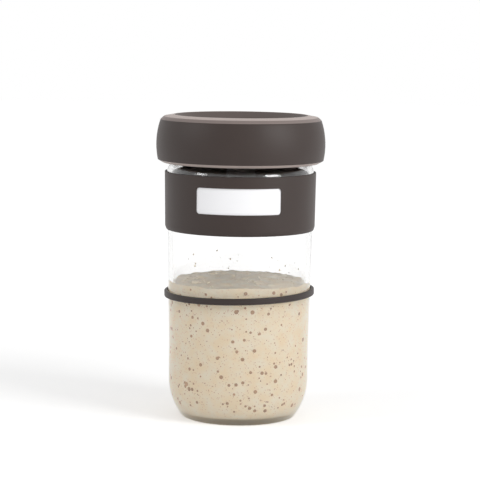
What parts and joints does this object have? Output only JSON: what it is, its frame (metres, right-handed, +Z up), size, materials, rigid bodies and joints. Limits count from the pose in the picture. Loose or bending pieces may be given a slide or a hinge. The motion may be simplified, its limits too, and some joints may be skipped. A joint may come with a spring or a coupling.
{
  "type": "sourdough starter jar",
  "caption": "Flared clear glass jar of sourdough starter with a barrel-shaped silicone lid, a windowed label sleeve and a level marker ring.",
  "frame": {"origin": "centre of the jar's standing ring, on the table", "axes": "+Z up the jar's axis, and -Y towards the viewer, where the label faces"},
  "size_m": [0.099, 0.099, 0.1781],
  "materials": {
    "clear_glass": "clear, pressed and fire polished",
    "starter": "moist, aerated dough",
    "lid_silicone": "satin moulded silicone",
    "sleeve_silicone": "satin moulded silicone",
    "label_white": "matt, writable",
    "ring_silicone": "satin moulded silicone"
  },
  "bodies": {
    "jar": {"glass_jar": "clear_glass", "starter": "starter"},
    "lid": {"lid": "lid_silicone"},
    "sleeve": {"label_sleeve": "sleeve_silicone", "label_plate": "label_white"},
    "ring": {"marker_ring": "ring_silicone"}
  },
  "joints": [
    {"name": "lid_lift", "type": "slide", "parent": "jar", "child": "lid", "axis": [0, 0, 1], "range_m": [0, 0.06]},
    {"name": "sleeve_turn", "type": "hinge", "parent": "jar", "child": "sleeve", "pos_m": [0, 0, 0.128], "axis": [0, 0, 1], "continuous": true},
    {"name": "ring_slide", "type": "slide", "parent": "jar", "child": "ring", "axis": [0, 0, 1], "range_m": [-0.046, 0.009]}
  ]
}
